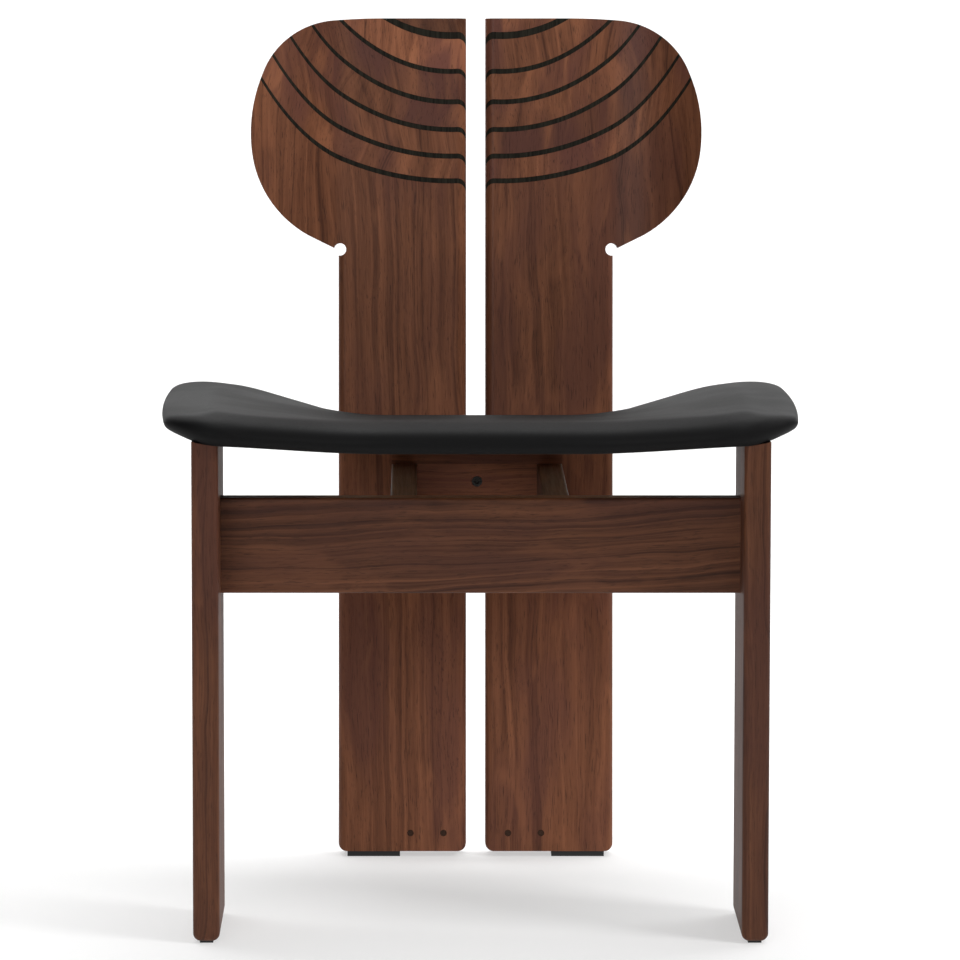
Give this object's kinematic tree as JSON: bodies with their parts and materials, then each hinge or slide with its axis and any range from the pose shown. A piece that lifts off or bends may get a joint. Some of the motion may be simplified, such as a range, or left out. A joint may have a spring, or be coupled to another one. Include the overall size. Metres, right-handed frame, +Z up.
{
  "type": "dining side chair",
  "caption": "Wooden side chair with a back of twin boards from floor to rounded, curved-in crest with dark inlaid arcs, plank front legs, a deep apron and a saddle-shaped black leather seat.",
  "frame": {"origin": "on the floor, under the middle of the chair's bounding box", "axes": "+X to the right as seen from the front, +Y to the back of the chair, +Z up"},
  "size_m": [0.5756, 0.528, 0.8099],
  "materials": {
    "walnut": "oiled satin",
    "walnut_dark": "oiled satin",
    "walnut_light": "oiled satin",
    "inlay": "oiled satin",
    "peg": "oiled satin",
    "beech": "plain",
    "plywood": "plain",
    "leather": "satin",
    "foam": "open-cell foam",
    "foot_plastic": "matte",
    "black_steel": "black oxide"
  },
  "bodies": {
    "root": {"back_board_left": "walnut", "back_board_right": "walnut", "board_pegs": "peg", "cleat_screw": "black_steel", "crest_layer_left_1": "walnut_dark", "crest_layer_left_2": "walnut_light", "crest_layer_left_3": "walnut_dark", "crest_layer_left_4": "walnut", "crest_layer_left_5": "walnut", "crest_layer_left_6": "walnut_light", "crest_layer_right_1": "walnut_dark", "crest_layer_right_2": "walnut_light", "crest_layer_right_3": "walnut_dark", "crest_layer_right_4": "walnut", "crest_layer_right_5": "walnut", "crest_layer_right_6": "walnut_light", "front_apron": "walnut", "front_glide_left": "foot_plastic", "front_glide_right": "foot_plastic", "front_leg_left": "walnut", "front_leg_right": "walnut", "inlay_left_1": "inlay", "inlay_left_2": "inlay", "inlay_left_3": "inlay", "inlay_left_4": "inlay", "inlay_left_5": "inlay", "inlay_left_6": "inlay", "inlay_right_1": "inlay", "inlay_right_2": "inlay", "inlay_right_3": "inlay", "inlay_right_4": "inlay", "inlay_right_5": "inlay", "inlay_right_6": "inlay", "leg_tenons": "beech", "rail_tenons_back": "beech", "rail_tenons_front": "beech", "rear_foot_left": "foot_plastic", "rear_foot_right": "foot_plastic", "rear_spacer_block": "walnut_light", "seat_bolts": "black_steel", "seat_carrier": "walnut_light", "seat_cleat": "walnut", "seat_foam": "foam", "seat_leather": "leather", "seat_shell": "plywood", "side_rail_left": "walnut", "side_rail_right": "walnut"}
  },
  "joints": []
}
